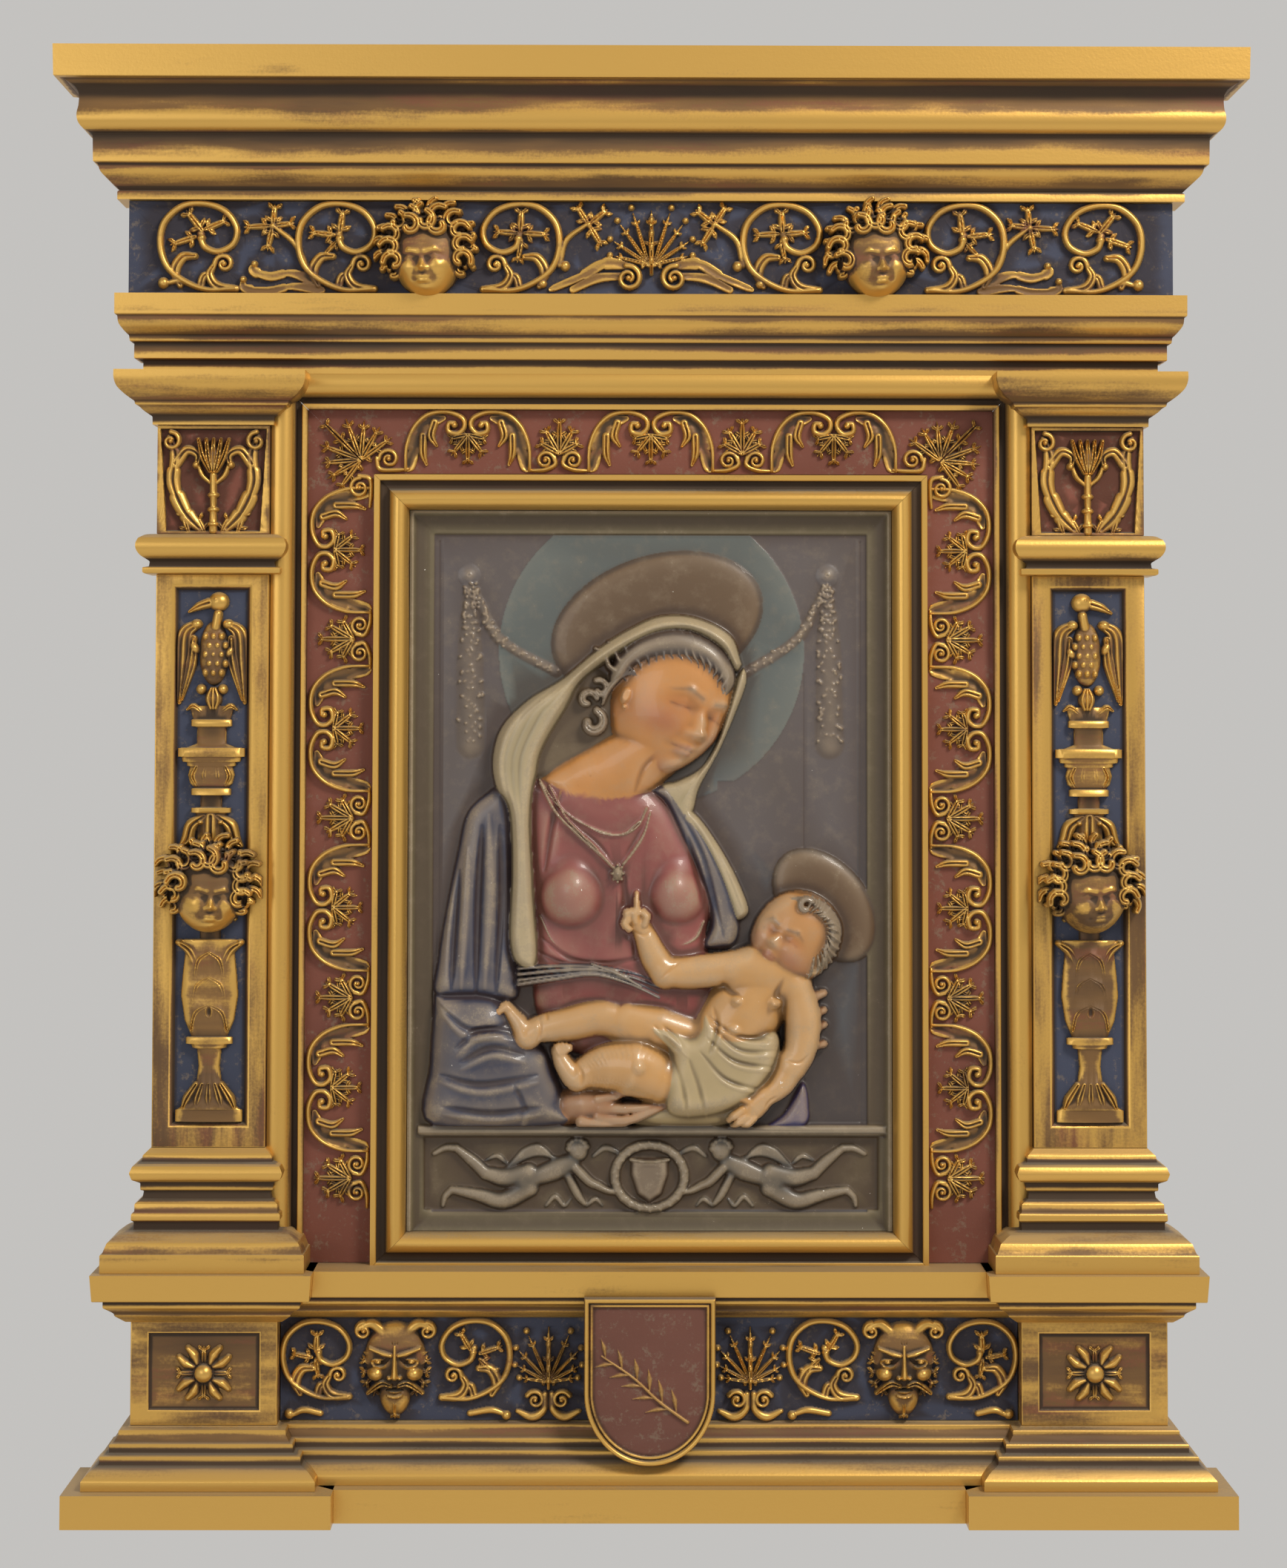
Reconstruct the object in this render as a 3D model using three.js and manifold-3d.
// A plaster relief of a mother and child in its carved and gilded tabernacle frame.
// Millimetres, +Z up, the front faces -Y and the back lies in the plane Y = 0.
// "reach" is how far a surface stands in front of the wall, so Y = -reach.
// Heights are written above the foot of the plinth; the group is lowered at the end,
// so that the origin is the hanging point in the middle of the back.

import * as THREE from 'three';
import { ConvexGeometry } from 'three/addons/geometries/ConvexGeometry.js';
import { mergeVertices } from 'three/addons/utils/BufferGeometryUtils.js';
import Module from 'manifold-3d';

const wasm = await Module();
wasm.setup();
const { Manifold, Mesh } = wasm;

// Driving dimensions
const hangingHeight = 640;
const gap = 0.3;
const wallPanelDepth = 7.7;

const entablatureHalf = 422.5;
const pilasterCentre = 390.2;
const pilasterHalf = 11.6;
const pedestalHalf = 8.2;
const shaftReach = 38.5;
const dieReach = 56;
const centreSetBack = 23;

const plinthTop = 28.7;
const pedestalBaseTop = 77.4;
const pedestalCapFoot = 168;
const pedestalCapTop = 212.4;
const shaftFoot = 316.8;
const neckingFoot = 823.5;
const bellFoot = 859.4;
const bellTop = 956.6;
const capitalTop = 1003.1;
const architraveTop = 1073;
const friezeTop = 1156.6;

const surroundSight = 307.9;
const surroundHeadSight = 972.4;
const surroundWidth = 31.4;
const borderReach = 18;
const borderSight = 247.8;
const borderHeadSight = 914.6;
const frameSight = 216;
const frameHeadSight = 882;
const frameFootSight = 240.6;
const frameFoot = pedestalCapTop + 0.3;

const reliefGround = 12;
const reliefRim = 24;
const fieldHalf = 194.5;
const fieldFoot = 256.6;
const fieldTop = 861;
const ledgeFoot = 324;
const ledgeTop = 333;

const gilding = { color: 0x9a6a2c, roughness: 0.45, metalness: 0.6 };
const carvedGilding = { color: 0x7d5a2e, roughness: 0.5, metalness: 0.45 };
const darkBronze = { color: 0x5a4426, roughness: 0.4, metalness: 0.5 };
const redGround = { color: 0x6b3a30, roughness: 0.7, metalness: 0 };
const blueGround = { color: 0x3a3f52, roughness: 0.75, metalness: 0 };
const paintedPlaster = { color: 0x8a7350, roughness: 0.55, metalness: 0 };
const oldWood = { color: 0x6a5238, roughness: 0.85, metalness: 0 };

const part = new THREE.Group();

function solidFrom(geometry) {
  const bare = geometry.clone();
  bare.deleteAttribute('normal');
  bare.deleteAttribute('uv');
  const merged = mergeVertices(bare, 1e-4);
  return new Manifold(new Mesh({
    numProp: 3,
    vertProperties: new Float32Array(merged.attributes.position.array),
    triVerts: new Uint32Array(merged.index.array),
  }));
}

function addPiece(name, solid, look) {
  const mesh = solid.getMesh();
  const geometry = new THREE.BufferGeometry();
  geometry.setAttribute('position', new THREE.BufferAttribute(mesh.vertProperties, 3));
  geometry.setIndex(new THREE.BufferAttribute(mesh.triVerts, 1));
  geometry.computeVertexNormals();
  const piece = new THREE.Mesh(geometry, new THREE.MeshStandardMaterial(look));
  piece.name = name;
  part.add(piece);
}

function join(solids) {
  return solids.reduce((sum, solid) => sum.add(solid));
}

// The flat triangles that close one ring, turned the way the ring runs
function capTriangles(ring) {
  const normal = new THREE.Vector3();
  ring.forEach((point, i) => {
    const next = ring[(i + 1) % ring.length];
    normal.add(new THREE.Vector3(...point).cross(new THREE.Vector3(...next)));
  });
  const sizes = normal.toArray().map(Math.abs);
  const [u, v] = [[1, 2], [2, 0], [0, 1]][sizes.indexOf(Math.max(...sizes))];
  const contour = ring.map((point) => new THREE.Vector2(point[u], point[v]));
  const turn = Math.sign(THREE.ShapeUtils.area(contour));
  return THREE.ShapeUtils.triangulateShape(contour, []).map((triangle) => {
    const same = Math.sign(THREE.ShapeUtils.area(triangle.map((i) => contour[i]))) === turn;
    return same ? triangle : [...triangle].reverse();
  });
}

// A closed body through a row of rings with the same number of points each
function lofted(rings) {
  const count = rings[0].length;
  const faces = [];
  for (let ring = 0; ring + 1 < rings.length; ring += 1) {
    for (let i = 0; i < count; i += 1) {
      const a = ring * count + i;
      const b = ring * count + (i + 1) % count;
      faces.push(a, b, b + count, a, b + count, a + count);
    }
  }
  const last = (rings.length - 1) * count;
  capTriangles(rings[0]).forEach(([a, b, c]) => faces.push(c, b, a));
  capTriangles(rings[rings.length - 1]).forEach(([a, b, c]) => faces.push(last + a, last + b, last + c));
  const geometry = new THREE.BufferGeometry();
  geometry.setAttribute('position', new THREE.Float32BufferAttribute(rings.flat(2), 3));
  geometry.setIndex(faces);
  return solidFrom(geometry);
}

function box(left, right, back, front, foot, top) {
  const ring = (z) => [[left, -back, z], [left, -front, z], [right, -front, z], [right, -back, z]];
  return lofted([ring(foot), ring(top)]);
}

// A moulded block that returns to the wall at both ends: each height has its reach,
// and the ends stand out beyond left and right by that reach.
function returnedBlock(left, right, profile, grow = 0) {
  return lofted(profile.map(([z, reach]) => {
    const out = reach + grow;
    return [
      [left - out, 0, z],
      [left - out, -out, z],
      [right + out, -out, z],
      [right + out, 0, z],
    ];
  }));
}

function raised(profile, grow) {
  const copy = profile.map(([z, reach]) => [z, reach]);
  copy[0][0] -= grow;
  copy[copy.length - 1][0] += grow;
  return copy;
}

function setBack(profile, amount) {
  return profile.map(([z, reach]) => [z, reach - amount]);
}

// A straight length of moulding between two ends, standing on the wall panel
function straightRun(half, profile) {
  const back = wallPanelDepth + gap;
  const section = [...profile.map(([z, reach]) => [-reach, z])];
  section.push([-back, profile[profile.length - 1][0]], [-back, profile[0][0]]);
  const ring = (x) => section.map(([y, z]) => [x, y, z]);
  return lofted([ring(half), ring(-half)]);
}

// One mitred rail. Each profile point is [distance out from the sight edge, reach].
// towards: the direction in which the rail looks out from the opening.
function mitredRail(profile, back, start, end, turnStart, turnEnd, outward) {
  const section = [...profile];
  section.push([profile[profile.length - 1][0], back], [profile[0][0], back]);
  const along = new THREE.Vector2().subVectors(end, start).normalize();
  const ring = (corner, turn, inset) => section.map(([out, reach]) => {
    const x = corner.x + outward.x * out + along.x * (turn * out + inset);
    const z = corner.y + outward.y * out + along.y * (turn * out + inset);
    return [x, -reach, z];
  });
  const forward = along.y * outward.x - along.x * outward.y > 0;
  const ends = [ring(start, turnStart, gap / 2), ring(end, turnEnd, -gap / 2)];
  return lofted(forward ? ends : ends.reverse());
}

// Carving: a tapering ridge along a path, sunk a little into its ground
function ridge(path, widths, ground, rise) {
  const rings = path.map(([x, z], i) => {
    const before = path[Math.max(i - 1, 0)];
    const after = path[Math.min(i + 1, path.length - 1)];
    const length = Math.hypot(after[0] - before[0], after[1] - before[1]);
    const nx = -(after[1] - before[1]) / length;
    const nz = (after[0] - before[0]) / length;
    const width = widths[i];
    return [
      [x - nx * width, -(ground - 1), z - nz * width],
      [x + nx * width, -(ground - 1), z + nz * width],
      [x, -(ground + rise), z],
    ];
  });
  return lofted(rings);
}

// A single pointed leaf or lobe: a kite with its midrib raised
function leaf(foot, angle, length, width, ground, rise) {
  const along = [Math.cos(angle), Math.sin(angle)];
  const spot = (share, side, reach) => [
    foot[0] + along[0] * length * share - along[1] * width * side,
    -reach,
    foot[1] + along[1] * length * share + along[0] * width * side,
  ];
  const under = ground - 1;
  const points = [
    spot(0, 0, under), spot(0.6, -1, under), spot(1, 0, under), spot(0.6, 1, under),
    spot(0.55, 0, ground + rise),
  ];
  const geometry = new THREE.BufferGeometry();
  geometry.setAttribute('position', new THREE.Float32BufferAttribute(points.flat(), 3));
  geometry.setIndex([0, 2, 1, 0, 3, 2, 0, 1, 4, 1, 2, 4, 2, 3, 4, 3, 0, 4]);
  return solidFrom(geometry);
}

// A fan of lobes about one axis
function palmette(foot, angle, length, lobes, spread, ground, rise) {
  const leaves = [];
  for (let i = 0; i < lobes; i += 1) {
    const side = lobes === 1 ? 0 : (2 * i) / (lobes - 1) - 1;
    const reachOut = length * (1 - 0.32 * Math.abs(side));
    leaves.push(leaf(foot, angle + side * spread, reachOut, length * 0.17, ground, rise));
  }
  return leaves;
}

// A rounded boss or body: half an ellipsoid on its ground
function dome(x, z, halfWidth, halfHeight, ground, rise, tilt = 0, sides = 6) {
  const ring = (share, reach) => {
    const points = [];
    for (let i = 0; i < sides; i += 1) {
      const angle = (2 * Math.PI * (i + 0.5)) / sides;
      const u = Math.cos(angle) * halfWidth * share;
      const v = Math.sin(angle) * halfHeight * share;
      points.push([
        x + u * Math.cos(tilt) - v * Math.sin(tilt),
        -reach,
        z + u * Math.sin(tilt) + v * Math.cos(tilt),
      ]);
    }
    return points;
  };
  return lofted([ring(1, ground - 1), ring(0.84, ground + rise * 0.62), ring(0.3, ground + rise)]);
}

// A limb: the skin over two rounded ends of different size. Stout ones get a second ring.
function limb(start, end, ground) {
  const points = [];
  const stout = Math.max(start[2], end[2]) > 28;
  const sides = stout ? 6 : 5;
  const turn = Math.atan2(end[1] - start[1], end[0] - start[0]);
  [start, end].forEach(([x, z, radius, rise]) => {
    const rings = stout ? [[1, -1], [0.78, rise * 0.68]] : [[1, -1]];
    rings.forEach(([share, up]) => {
      for (let i = 0; i < sides; i += 1) {
        const angle = turn + (2 * Math.PI * i) / sides;
        points.push(new THREE.Vector3(
          x + Math.cos(angle) * radius * share,
          -(ground + up),
          z + Math.sin(angle) * radius * share,
        ));
      }
    });
    points.push(new THREE.Vector3(x, -(ground + rise), z));
  });
  return solidFrom(new ConvexGeometry(points));
}

const leftAndRight = [['left', -1], ['right', 1]];

// Mouldings, each a list of [height, reach] from the foot up
const plinthProfile = [[0, 108], [plinthTop, 108]];
const pedestalBaseProfile = [
  [29, 92.9], [37.1, 92.9], [40, 90.5], [44.5, 86], [48, 80.5], [50, 78.9], [55.6, 78.9],
  [56.4, 74], [58, 71.5], [64.5, 71.5], [65.4, 68.3], [70, 65.4], [71, 64.6], [75.2, 64.6],
  [76.2, 58.5], [pedestalBaseTop, 56.3],
];
const dieProfile = [[pedestalBaseTop + gap, dieReach], [pedestalCapFoot - gap, dieReach]];
const pedestalCapProfile = [
  [pedestalCapFoot, 60], [171, 64], [174.5, 68.5], [176.5, 69], [178.5, 71.2], [182, 76.2],
  [183, 77.5], [188.6, 77.5], [189.6, 86], [pedestalCapTop, 87.7],
];
const pilasterBaseProfile = [
  [212.7, 77.3], [228.4, 77.3], [229.2, 75.5], [238, 72], [244.5, 62],
  [246.6, 51.5], [253.4, 51.5], [255, 53.8], [260.4, 53.6],
  [262, 51.2], [269, 51], [273, 45], [279.5, 43.8], [280.5, 46.7],
  [286.6, 46.7], [290, 53.5], [296, 55.6], [302, 53], [305, 45.8], [310.5, 45],
  [shaftFoot - gap, 38.8],
];
const shaftProfile = [[shaftFoot, shaftReach], [neckingFoot - gap, shaftReach]];
const neckingProfile = [
  [neckingFoot, 47.5], [824.6, 49.4], [829, 49.4], [830, 44.2], [834.5, 43.6], [836.5, 46.5],
  [840, 51.5], [845, 54.6], [850, 55], [855, 53], [858.2, 47], [bellFoot - gap, 40],
];
const bellProfile = [[bellFoot, shaftReach], [bellTop - gap, shaftReach]];
const capitalProfile = [
  [bellTop, 42.3], [963.8, 42.5], [965, 44.5], [969, 50], [972.6, 53.6], [973.4, 56],
  [976.6, 56.7], [977.6, 58.5], [983, 65.5], [989, 70.8], [996, 72.9], [capitalTop, 72.9],
];
const architraveProfile = [
  [1003.4, 31.9], [1015.2, 31.9], [1016, 39.1], [1030.2, 39.1], [1031.2, 42.6], [1036.4, 43.2],
  [1037.4, 44.5], [1041, 47.8], [1046.5, 51.5], [1053.4, 52.6], [1054.4, 54.8],
  [architraveTop, 54.9],
];
const friezeProfile = [[architraveTop + gap, 44], [friezeTop, 44]];
const corniceProfile = [
  [friezeTop + gap, 53.3], [1164, 53.3], [1165.2, 51.3], [1170, 56.5], [1175, 62], [1180, 66.6],
  [1186.6, 68.5], [1187.6, 72.2], [1212.4, 72.6], [1213.4, 75], [1216.5, 80.8], [1221.5, 84.2],
  [1228, 85], [1236, 83.6], [1246, 83.5], [1252, 86.5], [1256.2, 93.5], [1257.2, 95],
  [1258.2, 102.8], [1286.3, 103.5],
];

const blocks = [
  ['plinth', plinthProfile, pedestalHalf, gilding],
  ['pedestal_base', pedestalBaseProfile, pedestalHalf, gilding],
  ['pedestal', dieProfile, pedestalHalf, gilding],
  ['pedestal_cap', pedestalCapProfile, pedestalHalf, gilding],
  ['pilaster_base', pilasterBaseProfile, pilasterHalf, gilding],
  ['pilaster_shaft', shaftProfile, pilasterHalf, gilding],
  ['necking', neckingProfile, pilasterHalf, gilding],
  ['capital_bell', bellProfile, pilasterHalf, redGround],
  ['capital', capitalProfile, pilasterHalf, gilding],
];

function sideBlock(profile, half, side, grow = 0) {
  const centre = side * pilasterCentre;
  return returnedBlock(centre - half, centre + half, raised(profile, grow), grow);
}

// What the centre pieces are cut back to, so that they butt against the side blocks
const sideRoom = join(leftAndRight.flatMap(([, side]) => (
  blocks.map(([, profile, half]) => sideBlock(profile, half, side, gap))
)));

function butted(solid) {
  return solid.subtract(sideRoom);
}

addPiece('wall_panel', box(-288, 288, 0, wallPanelDepth, plinthTop + gap, capitalTop), oldWood);
addPiece('cornice', returnedBlock(-entablatureHalf, entablatureHalf, corniceProfile), gilding);
addPiece('architrave', returnedBlock(-entablatureHalf, entablatureHalf, architraveProfile), gilding);

// Pilasters: the shaft has a sunk panel, and its carving stands in it
const shaftPanel = { half: 31, foot: 338.7, top: 809.6, ground: 32 };
const pedestalPanel = { half: 47.5, foot: 91.5, top: 156.5, ground: 53.5 };
const bellPanel = { foot: 861.5, top: 953.5, footHalf: 42, topHalf: 47.5, ground: 34 };

function sunkPanel(side, panel, front) {
  const centre = side * pilasterCentre;
  return box(centre - panel.half, centre + panel.half, panel.ground, front + 1, panel.foot, panel.top);
}

function bellHollow(side) {
  const centre = side * pilasterCentre;
  const ring = (reach) => [
    [centre - bellPanel.footHalf, -reach, bellPanel.foot],
    [centre + bellPanel.footHalf, -reach, bellPanel.foot],
    [centre + bellPanel.topHalf, -reach, bellPanel.top],
    [centre - bellPanel.topHalf, -reach, bellPanel.top],
  ];
  return lofted([ring(bellPanel.ground), ring(shaftReach + 1)]);
}

// Two acanthus leaves curl in at the sides of a cup flower on its stalk
function bellCarving(side) {
  const centre = side * pilasterCentre;
  const ground = bellPanel.ground;
  const foot = bellPanel.foot;
  const parts = [
    leaf([centre, foot + 16], Math.PI / 2, 52, 3.4, ground, 3.4),
    dome(centre, foot + 75, 15, 12, ground, 4),
    leaf([centre - 8, foot + 68], 1.9, 24, 6, ground, 6),
    leaf([centre + 8, foot + 68], Math.PI - 1.9, 24, 6, ground, 6),
  ];
  [-1, 1].forEach((hand) => {
    const at = (x, z) => [centre + hand * x, foot + z];
    parts.push(ridge([at(37, 0), at(40, 36), at(20, 58)], [8, 11, 2], ground, 5));
    parts.push(ridge([at(44, 52), at(40, 78), at(26, 84)], [5, 9, 1.5], ground, 5));
  });
  return parts;
}

// Four heart-shaped petals round a dome
function rosette(side) {
  const centre = side * pilasterCentre;
  const middle = 123;
  const parts = [dome(centre, middle, 10, 10, pedestalPanel.ground, 12)];
  for (let quarter = 0; quarter < 4; quarter += 1) {
    const angle = Math.PI / 4 + (quarter * Math.PI) / 2;
    const x = centre + Math.cos(angle) * 20;
    const z = middle + Math.sin(angle) * 20;
    parts.push(dome(x, z, 15, 11.5, pedestalPanel.ground, 8, angle, 5));
  }
  return join(parts);
}

// [height, half width, rise] of the candelabrum's stem, from its foot to the bird
const candelabrumProfile = [
  [339.2, 29, 6], [350, 28, 7], [353, 23.5, 6], [373, 11, 6], [403, 10, 6],
  [404, 22, 9], [413, 22, 9], [414, 17, 7], [450, 26, 10], [480, 22, 9], [499, 27, 8],
  [500, 10, 5.9], [585, 8, 5.9], [586, 25, 5.9], [612, 12, 5.9], [627, 18, 8], [633, 18, 8],
  [634, 10, 6], [644, 21, 9], [650, 21, 9], [651, 13, 7], [673, 28, 9], [680, 28, 9],
  [682, 15, 7], [703, 21, 9], [708, 21, 9], [709, 14, 7], [735, 20, 9],
];

// The candelabrum that climbs each pilaster, with the bird on top
function candelabrum(side) {
  const centre = side * pilasterCentre;
  const ground = shaftPanel.ground + gap + 1;
  const back = shaftPanel.ground + gap;
  const stem = lofted(candelabrumProfile.map(([z, half, rise]) => [
    [centre - half, -back, z],
    [centre - half * 0.62, -(back + rise), z],
    [centre + half * 0.62, -(back + rise), z],
    [centre + half, -back, z],
  ]));
  const parts = [stem];
  [-1, 1].forEach((hand) => {
    const at = (x, z) => [centre + hand * x, z];
    parts.push(ridge([at(4, 762), at(21, 784), at(27, 768), at(27, 730)], [6, 8, 9, 2], ground, 8));
  });
  parts.push(dome(centre, 754, 13, 28, ground, 10));
  parts.push(dome(centre, 792, 9, 11, ground, 10));
  parts.push(leaf([centre + side * 2, 794], side > 0 ? -0.2 : Math.PI + 0.2, 20, 5, ground, 6));
  const room = box(
    centre - shaftPanel.half + gap, centre + shaftPanel.half - gap,
    shaftPanel.ground + gap, 100, shaftPanel.foot + gap, shaftPanel.top - gap,
  );
  return join(parts).intersect(room);
}

// A child's head in a ring of curls, flat behind where it is fixed.
// Each ring: [reach, half width, half height, how deep the curls cut in], as shares of size.
const cherubRings = [
  [0, 0.52, 0.5, 0.1], [0.2, 0.71, 0.7, 0.17], [0.44, 0.64, 0.66, 0.16], [0.62, 0.4, 0.5, 0],
  [0.76, 0.2, 0.28, 0],
];

function cherubHead(x, z, size, back) {
  const spots = 14;
  const body = lofted(cherubRings.map(([reach, wide, high, cut]) => {
    const ring = [];
    for (let i = 0; i < spots; i += 1) {
      const angle = Math.PI / 2 + (2 * Math.PI * i) / spots;
      const chin = Math.max(0, -Math.sin(angle) - 0.5);
      const share = i % 2 === 1 && chin === 0 ? 1 - cut : 1 - chin * 0.2;
      ring.push([
        x + Math.cos(angle) * wide * size * share,
        -(back + gap + reach * size),
        z + Math.sin(angle) * high * size * share,
      ]);
    }
    return ring;
  }));
  const ground = back + size * 0.62;
  return body.add(leaf([x, z + size * 0.1], -Math.PI / 2, size * 0.3, size * 0.08, ground, size * 0.2));
}

leftAndRight.forEach(([name, side]) => {
  blocks.forEach(([block, profile, half, look]) => {
    let solid = sideBlock(profile, half, side);
    if (block === 'pilaster_shaft') {
      solid = solid.subtract(sunkPanel(side, shaftPanel, shaftReach));
    }
    if (block === 'pedestal') {
      solid = solid.subtract(sunkPanel(side, pedestalPanel, dieReach));
    }
    if (block === 'capital_bell') {
      solid = join([solid.subtract(bellHollow(side)), ...bellCarving(side)]);
    }
    addPiece(`${block}_${name}`, solid, look);
  });
  addPiece(`pedestal_rosette_${name}`, rosette(side).subtract(
    box(-600, 600, 0, pedestalPanel.ground + gap, 0, 300),
  ), carvedGilding);
  addPiece(`pilaster_candelabrum_${name}`, candelabrum(side), carvedGilding);
  addPiece(`pilaster_cherub_${name}`, cherubHead(side * pilasterCentre, 550, 66, shaftReach), darkBronze);
});

// Centre: the sill and the foot mouldings carry the pedestals' profiles across, set back
const sillProfile = [
  ...setBack(pedestalCapProfile, centreSetBack),
];
const footProfile = setBack(pedestalBaseProfile, centreSetBack);
const predella = { half: 325.4, foot: pedestalBaseTop + gap, top: pedestalCapFoot - gap, ground: 34 };

addPiece('plinth_centre', butted(straightRun(300, setBack(plinthProfile, centreSetBack))), gilding);
addPiece('foot_moulding', butted(straightRun(326, footProfile)), gilding);
addPiece('sill', butted(straightRun(326, sillProfile)), gilding);

// Mitred frames: the surround stands on three sides, the inner frame on four
const surroundProfile = [
  [0, 27], [4.5, 27], [5.2, 20], [9.5, 19.5], [11, 24], [14, 29.5], [19, 33], [26, 33.4],
  [surroundWidth, 31.5],
];
const innerFrameProfile = [
  [0, 22], [0.6, 28], [2.2, 32.5], [5.5, 36.5], [9.5, 38], [13.5, 36.3], [16.6, 32.4],
  [17.6, 29], [19, 26.5], [22.5, 25], [25.6, 26.5], [26.4, 31], [31.4, 31],
];
const outLeft = new THREE.Vector2(-1, 0);
const outRight = new THREE.Vector2(1, 0);
const outUp = new THREE.Vector2(0, 1);
const outDown = new THREE.Vector2(0, -1);
const at = (x, z) => new THREE.Vector2(x, z);
const railBack = wallPanelDepth + gap;

const surroundFoot = pedestalCapTop + gap;
addPiece('surround_top', butted(mitredRail(
  surroundProfile, railBack, at(-surroundSight, surroundHeadSight),
  at(surroundSight, surroundHeadSight), -1, 1, outUp,
)).subtract(box(-400, 400, 0, 60, capitalTop, 1100)), gilding);
leftAndRight.forEach(([name, side]) => {
  addPiece(`surround_${name}`, butted(mitredRail(
    surroundProfile, railBack, at(side * surroundSight, surroundFoot),
    at(side * surroundSight, surroundHeadSight), 0, 1, side < 0 ? outLeft : outRight,
  )).subtract(box(-400, 400, 0, 60, capitalTop - 13, 1100)), gilding);
  addPiece(`inner_frame_${name}`, mitredRail(
    innerFrameProfile, railBack, at(side * frameSight, frameFootSight),
    at(side * frameSight, frameHeadSight), -1, 1, side < 0 ? outLeft : outRight,
  ).subtract(box(-300, 300, 0, 60, 180, frameFoot)), gilding);
});
addPiece('inner_frame_top', mitredRail(
  innerFrameProfile, railBack, at(-frameSight, frameHeadSight),
  at(frameSight, frameHeadSight), -1, 1, outUp,
), gilding);
addPiece('inner_frame_bottom', mitredRail(
  innerFrameProfile, railBack, at(-frameSight, frameFootSight),
  at(frameSight, frameFootSight), -1, 1, outDown,
).subtract(box(-300, 300, 0, 60, 180, frameFoot)), gilding);

// A place on a band: across runs along the band, in runs from its outer to its inner edge
function onBand(origin, along, inward) {
  return (across, into) => [
    origin[0] + along[0] * across + inward[0] * into,
    origin[1] + along[1] * across + inward[1] * into,
  ];
}

const bandWidth = surroundSight - borderSight;

// A pair of leafy C-scrolls over a hanging palmette
function scrollPair(place, heading, ground) {
  const parts = [];
  [-1, 1].forEach((hand) => {
    const arm = [place(hand * 38, 55), place(hand * 34, 18), place(hand * 10, 12)];
    parts.push(ridge(arm, [8, 8, 4], ground, 6));
  });
  parts.push(...palmette(place(0, 18), heading, 38, 3, 0.85, ground, 6));
  return parts;
}

// An upright palmette between two small volutes
function uprightPalmette(place, heading, ground) {
  const parts = palmette(place(0, 42), heading, 38, 3, 0.95, ground, 6);
  [-1, 1].forEach((hand) => {
    const hook = [place(hand * 30, 56), place(hand * 10, 46)];
    parts.push(ridge(hook, [2, 4], ground, 5));
  });
  return parts;
}

const topPitch = 82.2;
const sidePitch = 79.8;
const sideFirst = 846;

function cornerPalmette(side, ground) {
  const corner = [side * (borderSight + 5), borderHeadSight + 5];
  const outward = side > 0 ? Math.PI / 4 : (3 * Math.PI) / 4;
  return [
    ...palmette(corner, outward, 68, 5, 1.15, ground, 7),
    dome(side * (borderSight - 20), borderHeadSight + 12, 9, 9, ground, 5),
    dome(side * (borderSight + 12), borderHeadSight - 20, 9, 9, ground, 5),
  ];
}

function borderCarving() {
  const ground = borderReach;
  const parts = [];
  [-1, 0, 1].forEach((step) => {
    const place = onBand([step * 2 * topPitch, surroundHeadSight], [1, 0], [0, -1]);
    parts.push(...scrollPair(place, -Math.PI / 2, ground));
  });
  [-1, 1].forEach((step) => {
    const place = onBand([step * topPitch, surroundHeadSight], [1, 0], [0, -1]);
    parts.push(...uprightPalmette(place, Math.PI / 2, ground));
  });
  leftAndRight.forEach(([, side]) => {
    parts.push(...cornerPalmette(side, ground));
    for (let step = 0; step < 8; step += 1) {
      const z = sideFirst - step * sidePitch;
      const place = onBand([side * surroundSight, z], [0, 1], [-side, 0]);
      const inward = side > 0 ? Math.PI : 0;
      const carve = step % 2 === 0 ? scrollPair : uprightPalmette;
      parts.push(...carve(place, step % 2 === 0 ? inward : Math.PI - inward, ground));
    }
  });
  return parts;
}

// The border is one band of carving, mitred at the two upper corners
function mitredField(inner, outer, foot, head, outerHead) {
  const slant = (ring) => ring.map(([x, z]) => [x, -railBack, z]);
  const front = (ring) => ring.map(([x, z]) => [x, -60, z]);
  const between = (ring) => lofted([slant(ring), front(ring)]);
  const inset = gap / 2;
  return {
    top: between([
      [-inner + inset, head], [inner - inset, head], [outer - inset, outerHead], [-outer + inset, outerHead],
    ]),
    left: between([[-outer, foot], [-inner, foot], [-inner, head - inset], [-outer, outerHead - inset]]),
    right: between([[inner, foot], [outer, foot], [outer, outerHead - inset], [inner, head - inset]]),
  };
}

const borderInner = borderSight + gap;
const borderOuter = surroundSight - gap;
const borderBoard = box(
  -borderOuter, borderOuter, railBack, borderReach, frameFoot + 4, surroundHeadSight - gap,
).subtract(box(-borderInner, borderInner, 0, 60, 0, borderHeadSight + gap));
const border = join([borderBoard, ...borderCarving()]);
const fields = mitredField(
  borderInner, borderOuter, frameFoot + 4, borderHeadSight + gap, surroundHeadSight - gap,
);
Object.entries(fields).forEach(([name, field]) => {
  addPiece(`border_${name}`, butted(border.intersect(field)), redGround);
});

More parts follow.
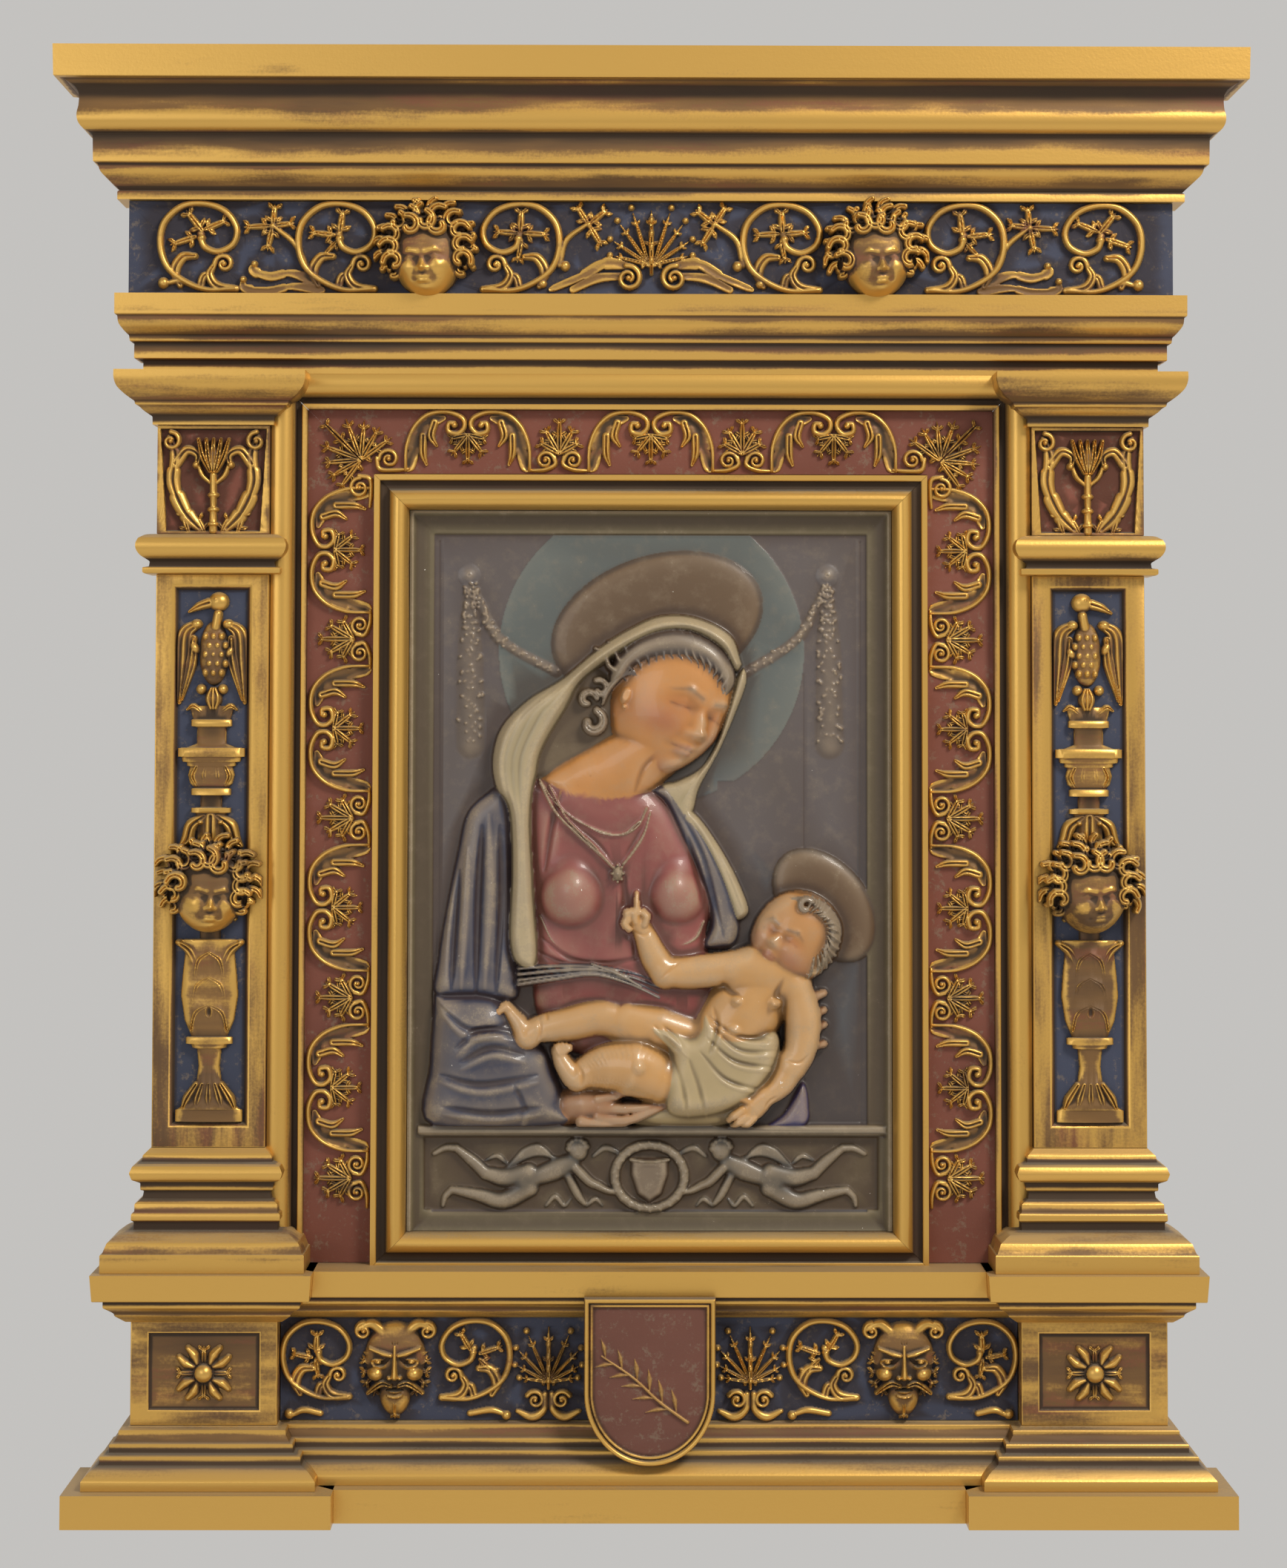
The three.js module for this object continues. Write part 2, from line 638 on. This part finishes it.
// Frieze and predella: ring scrolls round a flower, with leaves between them
function ringScroll(x, z, radius, hand, ground) {
  const steps = 7;
  const path = [];
  for (let i = 0; i < steps; i += 1) {
    const angle = -1.9 + (i * 5.1) / (steps - 1);
    path.push([x + hand * Math.cos(angle) * radius, z + Math.sin(angle) * radius]);
  }
  path.push([x + hand * radius * -0.1, z - radius * 0.45]);
  const parts = [ridge(path, [3.5, 3.5, 3.2, 3, 3, 3, 3, 3.5], ground, 6)];
  for (let petal = 0; petal < 3; petal += 1) {
    const angle = Math.PI / 2 + petal * 2.1;
    parts.push(leaf([x - hand * 2, z], hand > 0 ? angle : Math.PI - angle, radius * 0.72, 6, ground, 5));
  }
  return parts;
}

const friezeGround = 44;
const friezeMiddle = 1118;

function friezeCarving() {
  const ground = friezeGround;
  const parts = palmette([0, 1090], Math.PI / 2, 58, 5, 1.25, ground, 6);
  [-1, 1].forEach((hand) => {
    [[114, -1], [284, 1], [404, -1]].forEach(([x, turn]) => {
      parts.push(...ringScroll(hand * x, friezeMiddle + 2, 32, hand * turn, ground));
    });
    [56, 338].forEach((x) => {
      parts.push(...palmette([hand * x, friezeMiddle], Math.PI / 2, 34, 3, 1.3, ground, 6));
    });
    parts.push(ridge([
      [hand * 3, 1084], [hand * 22, 1095], [hand * 60, 1092], [hand * 105, 1083], [hand * 156, 1082],
    ], [3, 6, 6, 4.5, 3], ground, 6));
    parts.push(ridge([
      [hand * 244, 1082], [hand * 300, 1084], [hand * 338, 1095], [hand * 400, 1083], [hand * 436, 1086],
    ], [3, 4.5, 7, 5, 3], ground, 6));
  });
  return parts;
}

const frieze = join([returnedBlock(-entablatureHalf, entablatureHalf, friezeProfile), ...friezeCarving()]);
const friezeRoom = box(-500, 500, 0, 200, architraveTop + gap, friezeTop);
const friezeCherub = { x: 200, z: 1114, size: 66 };
addPiece('frieze', frieze.intersect(friezeRoom), blueGround);
leftAndRight.forEach(([name, side]) => {
  const entablature = join([
    returnedBlock(-entablatureHalf, entablatureHalf, raised(corniceProfile, gap), gap),
    returnedBlock(-entablatureHalf, entablatureHalf, raised(architraveProfile, gap), gap),
  ]);
  const { x, z, size } = friezeCherub;
  const head = cherubHead(side * x, z, size, friezeGround);
  addPiece(`frieze_cherub_${name}`, head.subtract(entablature), darkBronze);
});

// A leafy mask: a broad face with brow, cheeks and a beard of leaves
function leafMask(x, z, ground) {
  const parts = [dome(x, z + 6, 22, 30, ground, 13)];
  [-1, 1].forEach((hand) => {
    parts.push(leaf([x + hand * 14, z + 18], hand > 0 ? 0.7 : Math.PI - 0.7, 30, 8, ground, 7));
    parts.push(leaf([x + hand * 10, z - 16], hand > 0 ? -1.1 : Math.PI + 1.1, 30, 9, ground, 8));
  });
  parts.push(leaf([x, z - 16], -Math.PI / 2, 28, 9, ground, 9));
  parts.push(leaf([x, z + 22], -Math.PI / 2, 28, 5, ground, 18));
  return parts;
}

function predellaCarving() {
  const ground = predella.ground;
  const parts = [];
  [-1, 1].forEach((hand) => {
    parts.push(...ringScroll(hand * 295, 137, 28, -hand, ground));
    parts.push(...ringScroll(hand * 156, 138, 29, hand, ground));
    parts.push(...leafMask(hand * 224, 128, ground));
    parts.push(...palmette([hand * 92, 112], Math.PI / 2, 52, 5, 1.25, ground, 7));
    parts.push(ridge([
      [hand * 64, 88], [hand * 92, 92], [hand * 140, 86], [hand * 176, 90], [hand * 196, 96],
    ], [3, 6, 5, 6, 3], ground, 6));
    parts.push(ridge([
      [hand * 252, 96], [hand * 276, 88], [hand * 316, 88],
    ], [3, 7, 3], ground, 6));
  });
  return parts;
}

const predellaBoard = box(
  -predella.half, predella.half, railBack, predella.ground, predella.foot, predella.top,
);
const predellaRoom = box(-predella.half, predella.half, 0, 200, predella.foot, predella.top);

// The shield hangs over sill, predella and foot moulding
const shield = { top: 191, foot: 46, half: 57.5, back: 65.2, front: 76, rim: 7, field: 71.5 };

function shieldOutline(inset) {
  const half = shield.half - inset;
  const points = [[half, shield.top - inset], [-half, shield.top - inset]];
  const spring = shield.foot + shield.half + 6;
  const steps = 12;
  for (let i = 0; i <= steps; i += 1) {
    const angle = Math.PI + (Math.PI * i) / steps;
    points.push([Math.cos(angle) * half, spring + Math.sin(angle) * (spring - shield.foot - inset)]);
  }
  return points;
}

function shieldBody(inset, back, front) {
  const ring = (reach) => shieldOutline(inset).map(([x, z]) => [x, -reach, z]);
  return lofted([ring(back), ring(front)]);
}

function oliveBranch() {
  const ground = shield.field;
  const parts = [ridge([[33, 84], [8, 102], [-14, 122], [-42, 141]], [2, 1.8, 1.6, 1.2], ground, 2.6)];
  const leaves = 5;
  for (let i = 0; i < leaves; i += 1) {
    const foot = [24 - i * 14, 90 + i * 11.5];
    parts.push(leaf(foot, 1.25 + 0.16 * i, 23, 4, ground, 3));
    parts.push(leaf([foot[0] + 4, foot[1] - 3], 3.9 - 0.14 * i, 23, 4, ground, 3));
  }
  return parts;
}

const shieldSolid = join([
  shieldBody(0, shield.back, shield.front)
    .subtract(shieldBody(shield.rim, shield.field, shield.front + 1)),
  ...oliveBranch(),
]);
addPiece('shield', shieldSolid, redGround);
addPiece('predella', butted(
  join([predellaBoard, ...predellaCarving()]).intersect(predellaRoom),
), blueGround);

// The plaster relief: a slab with its own sloping rim, cast in one with its figures
function mother() {
  const g = reliefGround;
  return [
    dome(6, 781, 97, 60, g, 9, 0.31, 12),
    limb([30, 664, 26, 30], [26, 738, 44, 34], g),
    limb([-40, 745, 16, 22], [52, 765, 18, 22], g),
    limb([-60, 722, 14, 20], [-46, 700, 10, 20], g),
    limb([6, 660, 26, 20], [-50, 626, 40, 20], g),
    limb([-100, 700, 18, 17], [-112, 640, 18, 17], g),
    limb([-112, 640, 18, 17], [-112, 480, 15, 19], g),
    limb([72, 738, 12, 18], [38, 612, 10, 14], g),
    limb([36, 614, 9, 13], [78, 528, 11, 12], g),
    limb([-150, 600, 26, 15], [-150, 470, 40, 19], g),
    limb([-70, 612, 46, 17], [10, 606, 22, 13], g),
    limb([-68, 540, 40, 27], [24, 540, 36, 23], g),
    limb([-60, 480, 52, 16], [30, 470, 46, 14], g),
    limb([14, 612, 14, 14], [60, 500, 18, 12], g),
    limb([-114, 464, 11, 23], [6, 460, 10, 20], g),
    limb([-60, 436, 40, 12], [40, 430, 40, 12], g),
    limb([-144, 396, 52, 24], [-130, 352, 62, 24], g),
    limb([-70, 345, 16, 24], [12, 352, 8, 24], g),
    ...[[452, 437], [436, 428], [424, 416]].map(([from, to]) => (
      limb([136, to, 5, 20], [152, from, 4.5, 18], g)
    )),
  ];
}

function child() {
  const g = reliefGround;
  return [
    dome(157, 530, 56, 36, g, 10, -0.87, 10),
    limb([116, 492, 30, 38], [130, 516, 36, 38], g),
    limb([100, 457, 34, 28], [58, 392, 38, 28], g),
    limb([68, 474, 15, 26], [16, 472, 14, 27], g),
    limb([16, 472, 14, 27], [-13, 512, 9, 28], g),
    limb([-13, 512, 8, 29], [-11, 538, 3, 24], g),
    limb([128, 450, 16, 29], [130, 392, 15, 30], g),
    limb([130, 392, 15, 30], [96, 354, 12, 30], g),
    limb([92, 352, 13, 29], [78, 345, 12, 27], g),
    limb([24, 414, 22, 26], [-40, 430, 18, 25], g),
    limb([-40, 430, 17, 25], [-104, 419, 12, 26], g),
    limb([-108, 416, 11, 27], [-130, 441, 6, 24], g),
    limb([-8, 386, 29, 33], [-56, 381, 16, 28], g),
    limb([-62, 370, 11, 29], [-78, 402, 8, 27], g),
    limb([70, 378, 42, 25], [30, 356, 40, 22], g),
  ];
}

function winged(hand) {
  const g = reliefGround;
  const place = (x, z, radius, rise) => [hand * x, z, radius, rise];
  return [
    dome(hand * -65, 312, 11, 12, g, 9),
    limb(place(-72, 297, 11, 8), place(-108, 287, 12, 8), g),
    limb(place(-60, 293, 5, 7), place(-34, 276, 4, 6), g),
    limb(place(-112, 290, 10, 8), place(-146, 293, 7, 7), g),
    limb(place(-146, 293, 6, 7), place(-174, 314, 4, 5), g),
    limb(place(-110, 277, 10, 7), place(-150, 270, 8, 7), g),
    limb(place(-150, 270, 7, 7), place(-184, 273, 4, 5), g),
    ridge([[hand * -84, 303], [hand * -102, 314], [hand * -122, 308]], [4, 6, 2], g, 4),
  ];
}

function reliefSlab() {
  const half = frameSight - gap;
  const foot = frameFootSight + gap;
  const top = frameHeadSight - gap;
  const slab = box(-half, half, railBack, reliefRim, foot, top);
  const ring = (x, z0, z1, reach) => [[-x, -reach, z0], [x, -reach, z0], [x, -reach, z1], [-x, -reach, z1]];
  const sunk = lofted([
    ring(fieldHalf, fieldFoot, fieldTop, reliefGround),
    ring(fieldHalf + 3, fieldFoot - 2, fieldTop + 3, reliefGround + 5),
    ring(half - 3, foot + 3, top - 3, reliefRim + 1),
  ]);
  const ledge = box(-fieldHalf - 12, fieldHalf + 12, railBack, reliefGround + 8, ledgeFoot, ledgeTop);
  return slab.subtract(sunk).add(ledge);
}

const figureRoom = box(-fieldHalf - 20, fieldHalf + 20, 0, 200, ledgeTop - 4, fieldTop + 8);
const wreath = new THREE.TorusGeometry(29, 4.5, 4, 10);
wreath.rotateX(Math.PI / 2);
wreath.translate(0, -(reliefGround + 2), 287);
const figures = join([...mother(), ...child()]).intersect(figureRoom);
const baseFigures = join([
  ...winged(1), ...winged(-1), dome(0, 288, 16, 19, reliefGround, 6), solidFrom(wreath),
]).intersect(box(-230, 230, railBack + 1, 100, 200, 400));
addPiece('plaster_relief', join([reliefSlab(), figures, baseFigures]), paintedPlaster);

part.position.z = -hangingHeight;
export default part;
